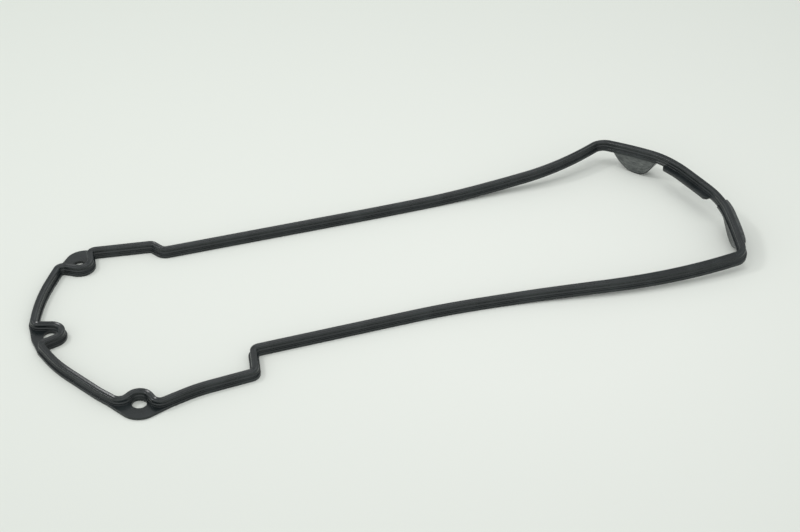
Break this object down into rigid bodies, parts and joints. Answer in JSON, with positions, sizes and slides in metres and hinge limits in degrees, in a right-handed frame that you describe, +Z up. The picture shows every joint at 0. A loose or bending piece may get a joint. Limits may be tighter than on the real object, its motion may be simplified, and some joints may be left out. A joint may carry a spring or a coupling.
{
  "type": "valve cover gasket",
  "caption": "Closed moulded rubber perimeter gasket with a grooved sealing bead on a flat flange, bolt eyelets at one end and half-moon plugs under the other.",
  "frame": {"origin": "centre of the part's box, on the flat surface that the front end and the half-moon plugs rest on", "axes": "+X along the rails from the rounded front with the eyelets to the rear end with the plugs, +Y to the far rail, +Z up out of the surface"},
  "size_m": [0.5738, 0.221, 0.0261],
  "materials": {
    "black_rubber": "satin moulded"
  },
  "bodies": {
    "root": {"gasket": "black_rubber"}
  },
  "joints": []
}
